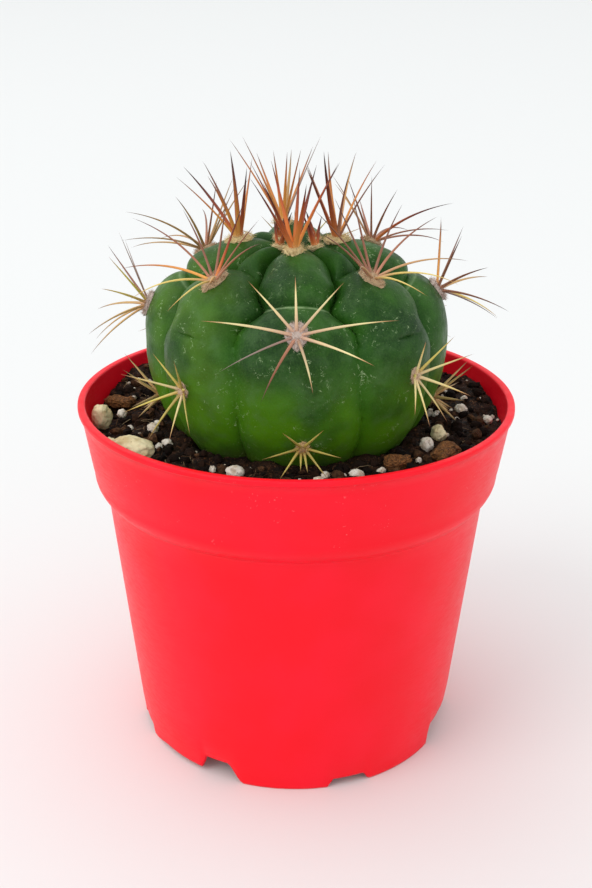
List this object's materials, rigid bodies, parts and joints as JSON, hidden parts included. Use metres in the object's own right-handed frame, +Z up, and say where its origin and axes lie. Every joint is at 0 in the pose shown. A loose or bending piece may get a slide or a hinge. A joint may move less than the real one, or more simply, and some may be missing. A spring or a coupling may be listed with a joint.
{
  "type": "potted round cactus",
  "caption": "Round ribbed cactus with woolly areoles and long curved spines, growing in dark gritty soil in a tapered round plastic nursery pot with a deep collar.",
  "frame": {"origin": "centre of the pot's foot, on the surface it stands on", "axes": "+Z up along the pot's axis, -Y is the front (rib 1), +X is to the right seen from the front"},
  "size_m": [0.085, 0.085, 0.1191],
  "materials": {
    "pot_plastic": "satin",
    "soil": "matte",
    "cactus_skin": "satin",
    "crown_spines": "satin",
    "upper_spines": "satin",
    "pale_spines": "satin",
    "pumice": "matte",
    "perlite": "matte",
    "bark": "matte"
  },
  "bodies": {
    "root": {"pot": "pot_plastic", "soil": "soil", "cactus_body": "cactus_skin", "spines_rib1_crown": "crown_spines", "spines_rib1_middle": "pale_spines", "spines_rib1_low": "pale_spines", "spines_rib2_young": "crown_spines", "spines_rib2_upper": "upper_spines", "spines_rib2_lower": "pale_spines", "spines_rib3_crown": "crown_spines", "spines_rib3_middle": "pale_spines", "spines_rib3_low": "pale_spines", "spines_rib4_young": "crown_spines", "spines_rib4_upper": "upper_spines", "spines_rib4_lower": "pale_spines", "spines_rib5_crown": "crown_spines", "spines_rib5_middle": "pale_spines", "spines_rib5_low": "pale_spines", "spines_rib6_young": "crown_spines", "spines_rib6_upper": "upper_spines", "spines_rib6_lower": "pale_spines", "spines_rib7_crown": "crown_spines", "spines_rib7_middle": "pale_spines", "spines_rib7_low": "pale_spines", "spines_rib8_young": "crown_spines", "spines_rib8_upper": "upper_spines", "spines_rib8_lower": "pale_spines", "pumice_front_left": "pumice", "pumice_left": "pumice", "pumice_chip_left": "pumice", "pumice_right": "pumice", "pumice_back": "pumice", "perlite_left_1": "perlite", "perlite_left_2": "perlite", "perlite_left_3": "perlite", "perlite_front_1": "perlite", "perlite_front_2": "perlite", "perlite_front_3": "perlite", "perlite_ball": "perlite", "perlite_right_1": "perlite", "perlite_right_2": "perlite", "perlite_back_1": "perlite", "perlite_back_2": "perlite", "perlite_back_3": "perlite", "bark_front_right": "bark", "bark_right": "bark", "bark_left": "bark", "bark_back": "bark"}
  },
  "joints": []
}
